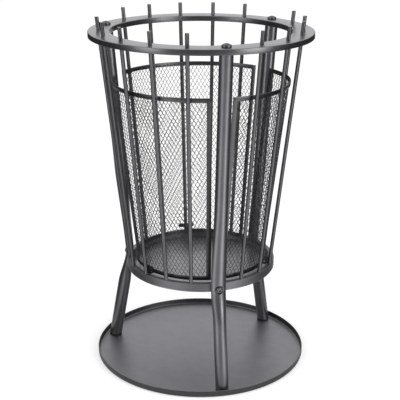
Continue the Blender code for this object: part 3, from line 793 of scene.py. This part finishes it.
def frame_mesh():
    """The strip frame: a curved grid with its middle left out, made thick, its edges broken."""
    rails = (
        SCREEN_BOTTOM_Z, SCREEN_BOTTOM_Z + SCREEN_RAIL, SCREEN_TOP_Z - SCREEN_RAIL, SCREEN_TOP_Z,
    )
    columns = 58
    bm = bmesh.new()
    bmesh.ops.create_grid(bm, x_segments=columns, y_segments=3, size=0.5)
    middle = [
        face for face in bm.faces
        if abs(face.calc_center_median().x) < 0.5 - 1 / columns
        and abs(face.calc_center_median().y) < 0.5 - 1 / 3
    ]
    bmesh.ops.delete(bm, geom=middle, context="FACES")
    for vert in bm.verts:
        column = round((vert.co.x + 0.5) * columns)
        z = rails[round((vert.co.y + 0.5) * 3)]
        inner = screen_half(z) - SCREEN_SIDE_STRIP / screen_r(z)
        if column in (0, columns):
            bearing = copysign(screen_half(z), vert.co.x)
        else:
            bearing = inner * (2 * (column - 1) / (columns - 2) - 1)
        vert.co = on_screen(bearing, z)
    return with_modifiers(plain_mesh("screen_frame", bm), [
        ("SOLIDIFY", {"thickness": SCREEN_STRIP, "offset": -1, "use_even_offset": True}),
        ("BEVEL", {
            "width": STRIP_EDGE, "segments": 2, "limit_method": "ANGLE",
            "angle_limit": radians(40),
        }),
    ])


def expanded_sheet(wide, low, high):
    """Flat expanded metal as a surface of strands, its tilt in z.

    Every cell is a hexagon: a diamond whose side corners are drawn out to the bond's length.
    """
    bm = bmesh.new()
    columns = int(wide / (DIAMOND_WIDE / 2)) + 2
    rows = range(int(low / (DIAMOND_TALL / 2)) - 2, int(high / (DIAMOND_TALL / 2)) + 3)
    nodes = {}

    def node(i, j, side):
        if (i, j, side) not in nodes:
            y = j * DIAMOND_TALL / 2 + side * BOND_LENGTH / 2
            nodes[i, j, side] = bm.verts.new((i * DIAMOND_WIDE / 2, y, 0))
        return nodes[i, j, side]

    centres = {}
    for i in range(-columns, columns + 1):
        for j in rows:
            if (i + j) % 2:
                continue
            face = bm.faces.new((
                node(i, j + 1, -1), node(i - 1, j, 1), node(i - 1, j, -1),
                node(i, j - 1, 1), node(i + 1, j, -1), node(i + 1, j, 1),
            ))
            centres[face] = j * DIAMOND_TALL / 2
    cells = list(centres)
    bmesh.ops.inset_individual(bm, faces=cells, thickness=STRAND_WIDTH / 2, use_even_offset=True)
    for cell in cells:
        for vert in cell.verts:
            vert.co.z = STRAND_TILT * (vert.co.y - centres[cell]) / (DIAMOND_TALL / 2)
    bmesh.ops.delete(bm, geom=cells, context="FACES_ONLY")
    return bm


def mesh_panel():
    """Expanded sheet rolled to the screen's cone, trimmed to the frame and made thick."""
    inset = SCREEN_STRIP + CLEARANCE + STRAND_TILT / 2 + STRAND_THICKNESS / 2
    lean = atan2(SCREEN_SLOPE, 1)
    low_r, high_r = SCREEN_BOTTOM_R - inset, SCREEN_TOP_R - inset
    half = screen_half(SCREEN_BOTTOM_Z)
    apex_low, apex_high = low_r / sin(lean), high_r / sin(lean)
    flat_half = half * sin(lean)
    bm = expanded_sheet(apex_high * sin(flat_half), apex_low * cos(flat_half), apex_high)
    for vert in bm.verts:
        slant = hypot(vert.co.x, vert.co.y)
        bearing = atan2(vert.co.x, vert.co.y) / sin(lean)
        radius = slant * sin(lean) + vert.co.z * cos(lean)
        z = SCREEN_BOTTOM_Z + (slant - apex_low) * cos(lean) - vert.co.z * sin(lean)
        vert.co = (radius * sin(bearing), -radius * cos(bearing), z)
    trims = [
        ((0, 0, SCREEN_BOTTOM_Z + MESH_EDGE), (0, 0, -1)),
        ((0, 0, SCREEN_TOP_Z - MESH_EDGE), (0, 0, 1)),
    ]
    for side in (-1, 1):
        ends = [
            on_screen(side * (screen_half(z) - MESH_EDGE / screen_r(z)), z, inset)
            for z in (SCREEN_BOTTOM_Z, SCREEN_TOP_Z)
        ]
        across = Vector((ends[0].x, ends[0].y, 0))
        trims.append((ends[0], side * (ends[1] - ends[0]).cross(across)))
    for point, outwards in trims:
        geometry = bm.verts[:] + bm.edges[:] + bm.faces[:]
        bmesh.ops.bisect_plane(
            bm, geom=geometry, dist=0.00001, plane_co=point, plane_no=outwards, clear_outer=True
        )
    thicken = ("SOLIDIFY", {"thickness": STRAND_THICKNESS, "offset": 0})
    return with_modifiers(plain_mesh("screen_mesh", bm), [thicken])


def make_screens():
    strip = frame_mesh()
    panel = mesh_panel()
    for where, bearing in SCREEN_PLACES.items():
        dress(f"screen_frame_{where}", strip, "powder_coat", bearing, "frame_coat")
        dress(f"screen_mesh_{where}", panel, "mesh_coat", bearing)


def make_brackets():
    """A plate welded behind the middle rod, with a strap that turns in under the screen."""
    plate_z = BASE_TOP_Z + BRACKET_LIFT
    rod_inner_r = BASE_MIDDLE_R + ROD_SLOPE * BRACKET_LIFT - ROD_R
    plate_r = rod_inner_r - CLEARANCE
    half = BRACKET_WIDTH / 2
    corners = [(-half, 0), (half, 0), (half, BRACKET_HEIGHT), (-half, BRACKET_HEIGHT)]
    stood_up = Matrix.Rotation(pi / 2, 4, "X")
    upright = Matrix.Translation((0, BRACKET_SHEET / 2 - plate_r, plate_z)) @ stood_up
    outline = rounded(corners, BRACKET_CORNER_R)
    plate = extruded("screen_bracket", outline, BRACKET_SHEET, upright)
    foot_r = plate_r - BRACKET_SHEET - BRACKET_STANDOFF
    sole = SCREEN_BOTTOM_Z - CLEARANCE
    toe_r = SCREEN_BOTTOM_R - SCREEN_STRIP - BRACKET_TOE
    corners = [
        (plate_r, plate_z), (plate_r, plate_z + BRACKET_SHEET), (foot_r, plate_z + BRACKET_SHEET),
        (foot_r, sole), (toe_r, sole), (toe_r, sole - BRACKET_SHEET),
        (foot_r + BRACKET_SHEET, sole - BRACKET_SHEET), (foot_r + BRACKET_SHEET, plate_z),
    ]
    bend, tip = BRACKET_BEND, BRACKET_TIP
    radii = [0, 0, bend, bend / 2, tip, tip, bend * 2, bend]
    sideways = Matrix.Rotation(-pi / 2, 4, "Z") @ stood_up
    strap = extruded("bracket_strap", rounded(corners, radii), BRACKET_STRAP, sideways)
    joined = bpy.data.objects.new("bracket_strap", strap)
    bpy.context.scene.collection.objects.link(joined)
    mesh = with_modifiers(plate, [
        ("BOOLEAN", {"operation": "UNION", "solver": "EXACT", "object": joined}),
        ("BEVEL", {
            "width": BRACKET_EDGE, "segments": 1, "limit_method": "ANGLE",
            "angle_limit": radians(60),
        }),
    ])
    bpy.data.objects.remove(joined)
    for where, bearing in SCREEN_PLACES.items():
        dress(f"screen_bracket_{where}", mesh, "powder_coat", bearing, "frame_coat")


def paint_hidden_nodes():
    """The plugs and nuts inside the tubes and the ring keep their solids."""
    for where in LEG_PLACES:
        for node in (f"tube_plug_{where}", f"base_nut_{where}"):
            mesh = frame["nodes"][node].data
            mesh.materials.clear()
            mesh.materials.append(materials["bright_zinc"])


# Studio


def seen_only_in_reflections(card):
    card.visible_camera = False
    card.visible_diffuse = False
    card.visible_transmission = False
    card.visible_volume_scatter = False
    card.visible_shadow = False


def glow(name):
    """An emission material, its tree and its shader."""
    made = bpy.data.materials.new(name)
    made.use_nodes = True
    tree = made.node_tree
    tree.nodes.clear()
    shader = tree.nodes.new("ShaderNodeEmission")
    output = tree.nodes.new("ShaderNodeOutputMaterial")
    tree.links.new(shader.outputs["Emission"], output.inputs["Surface"])
    return made, tree, shader


def seen_ray(tree):
    """1 for what the camera sees, also in a reflection or through glass, and 0 for the rest."""
    path = tree.nodes.new("ShaderNodeLightPath")
    seen = path.outputs["Is Camera Ray"]
    for also in ("Is Glossy Ray", "Is Transmission Ray"):
        either = add_node(tree, "ShaderNodeMath", {"operation": "MAXIMUM"})
        tree.links.new(seen, either.inputs[0])
        tree.links.new(path.outputs[also], either.inputs[1])
        seen = either.outputs[0]
    return seen


def make_floor():
    """A pale matt floor that keeps the object's shadow."""
    bm = bmesh.new()
    bmesh.ops.create_grid(bm, x_segments=1, y_segments=1, size=FLOOR_HALF_SIZE)
    mesh = plain_mesh("floor", bm)
    floor = bpy.data.objects.new("floor", mesh)
    floor.location.z = -FLOOR_DROP
    made = bpy.data.materials.new("pale_floor")
    made.use_nodes = True
    tree = made.node_tree
    shader = tree.nodes["Principled BSDF"]
    shader.inputs["Base Color"].default_value = FLOOR_TONE
    shader.inputs["Roughness"].default_value = 0.9
    shader.inputs["Specular IOR Level"].default_value = 0.0
    shader.inputs["Emission Color"].default_value = (1.0, 1.0, 1.0, 1.0)
    strength = spread(tree, seen_ray(tree), 0.0, FLOOR_GLOW)
    tree.links.new(strength, shader.inputs["Emission Strength"])
    mesh.materials.append(made)
    bpy.context.scene.collection.objects.link(floor)


def place_card(card, material):
    card.data.materials.append(material)
    bpy.context.scene.collection.objects.link(card)
    seen_only_in_reflections(card)


def make_floor_card():
    """What the steel mirrors below the horizon, its level set by azimuth and even near the tray.

    It is lit on both sides of the camera and behind the object, and dark to the sides.
    """
    bm = bmesh.new()
    bmesh.ops.create_circle(bm, cap_ends=True, segments=64, radius=FLOOR_CARD_R)
    card = bpy.data.objects.new("floor_card", plain_mesh("floor_card", bm))
    card.location.z = -FLOOR_CARD_DROP
    card.rotation_euler.z = radians(CAMERA_BEARING - 90)
    made, tree, shader = glow("floor_card")
    coords = tree.nodes.new("ShaderNodeTexCoord").outputs["Object"]
    radial = add_node(tree, "ShaderNodeTexGradient", {"gradient_type": "RADIAL"})
    tree.links.new(coords, radial.inputs["Vector"])
    stops = [(0.5 + azimuth / 360, (level,) * 3) for azimuth, level in FLOOR_CARD_LEVELS]
    far = ramp(tree, radial.outputs["Fac"], stops)
    reach = add_node(tree, "ShaderNodeVectorMath", {"operation": "LENGTH"})
    tree.links.new(coords, reach.inputs[0])
    away = share_between(tree, reach.outputs["Value"], *FLOOR_CARD_NEAR)
    colour = mixed_colour(tree, away, (FLOOR_CARD_NEAR_LEVEL,) * 3, far)
    tree.links.new(colour, shader.inputs["Color"])
    shader.inputs["Strength"].default_value = FLOOR_CARD_GLOW
    place_card(card, made)


def make_cards(name, spans, level):
    """Curved upright cards round the object, each (first azimuth, last azimuth, height)."""
    bm = bmesh.new()
    for first, last, height in spans:
        steps = (last - first) // CARD_STEP_DEG
        for step in range(steps):
            corners = []
            for along, z in ((0, 0), (1, 0), (1, height), (0, height)):
                azimuth = first + (last - first) * (step + along) / steps
                bearing = radians(CAMERA_BEARING + azimuth)
                corners.append(bm.verts.new((CARD_R * sin(bearing), -CARD_R * cos(bearing), z)))
            bm.faces.new(corners)
    card = bpy.data.objects.new(name, plain_mesh(name, bm))
    made, _, shader = glow(name)
    shader.inputs["Color"].default_value = (level, level, level, 1.0)
    place_card(card, made)


def make_softbox(name, azimuth, energy):
    """A large soft lamp, which no view shows directly."""
    lamp = bpy.data.lights.new(name, "AREA")
    lamp.shape = "RECTANGLE"
    lamp.size, lamp.size_y = SOFTBOX_SIZE
    lamp.energy = energy
    holder = bpy.data.objects.new(name, lamp)
    holder.visible_camera = False
    bearing = radians(CAMERA_BEARING + azimuth)
    aside, ahead = SOFTBOX_DISTANCE * sin(bearing), -SOFTBOX_DISTANCE * cos(bearing)
    holder.location = (aside, ahead, SOFTBOX_HEIGHT)
    aim = SOFTBOX_AIM - holder.location
    holder.rotation_euler = aim.to_track_quat("-Z", "Y").to_euler()
    bpy.context.scene.collection.objects.link(holder)


def make_world():
    """White where the camera or a reflection sees it, and a plain light elsewhere."""
    world = bpy.data.worlds.new("studio")
    bpy.context.scene.world = world
    world.use_nodes = True
    tree = world.node_tree
    background = tree.nodes["Background"]
    strength = spread(tree, seen_ray(tree), WORLD_LIGHT, 1.0)
    tree.links.new(strength, background.inputs["Strength"])
    background.inputs["Color"].default_value = (1.0, 1.0, 1.0, 1.0)


def make_camera():
    data = bpy.data.cameras.new("camera")
    data.lens = CAMERA_LENS
    data.sensor_width = CAMERA_SENSOR
    data.shift_x = CAMERA_SHIFT_X
    data.clip_end = 100
    camera = bpy.data.objects.new("camera", data)
    bearing = radians(CAMERA_BEARING)
    place = Matrix.Translation(
        (CAMERA_DISTANCE * sin(bearing), -CAMERA_DISTANCE * cos(bearing), CAMERA_HEIGHT)
    )
    look = turned_to(CAMERA_BEARING) @ Matrix.Rotation(radians(90 - CAMERA_PITCH_DEG), 4, "X")
    camera.matrix_world = place @ look @ Matrix.Rotation(radians(CAMERA_ROLL_DEG), 4, "Z")
    bpy.context.scene.collection.objects.link(camera)
    bpy.context.scene.camera = camera


pieces = bpy.data.collections.new("fine_pieces")
bpy.context.scene.collection.children.link(pieces)
materials = make_materials()

make_camera()
make_tray()
make_rings()
make_fire_floor()
make_rods()
make_legs()
make_foot_caps()
make_top_bolts()
make_base_screws()
make_screens()
make_brackets()
paint_hidden_nodes()

make_floor()
make_floor_card()
make_cards("side_cards", SIDE_CARDS, SIDE_CARD_LEVEL)
make_cards("front_card", FRONT_CARDS, FRONT_CARD_LEVEL)
for box_name, (box_azimuth, box_energy) in SOFTBOXES.items():
    make_softbox(box_name, box_azimuth, box_energy)
make_world()
bpy.context.scene.view_settings.view_transform = "Standard"
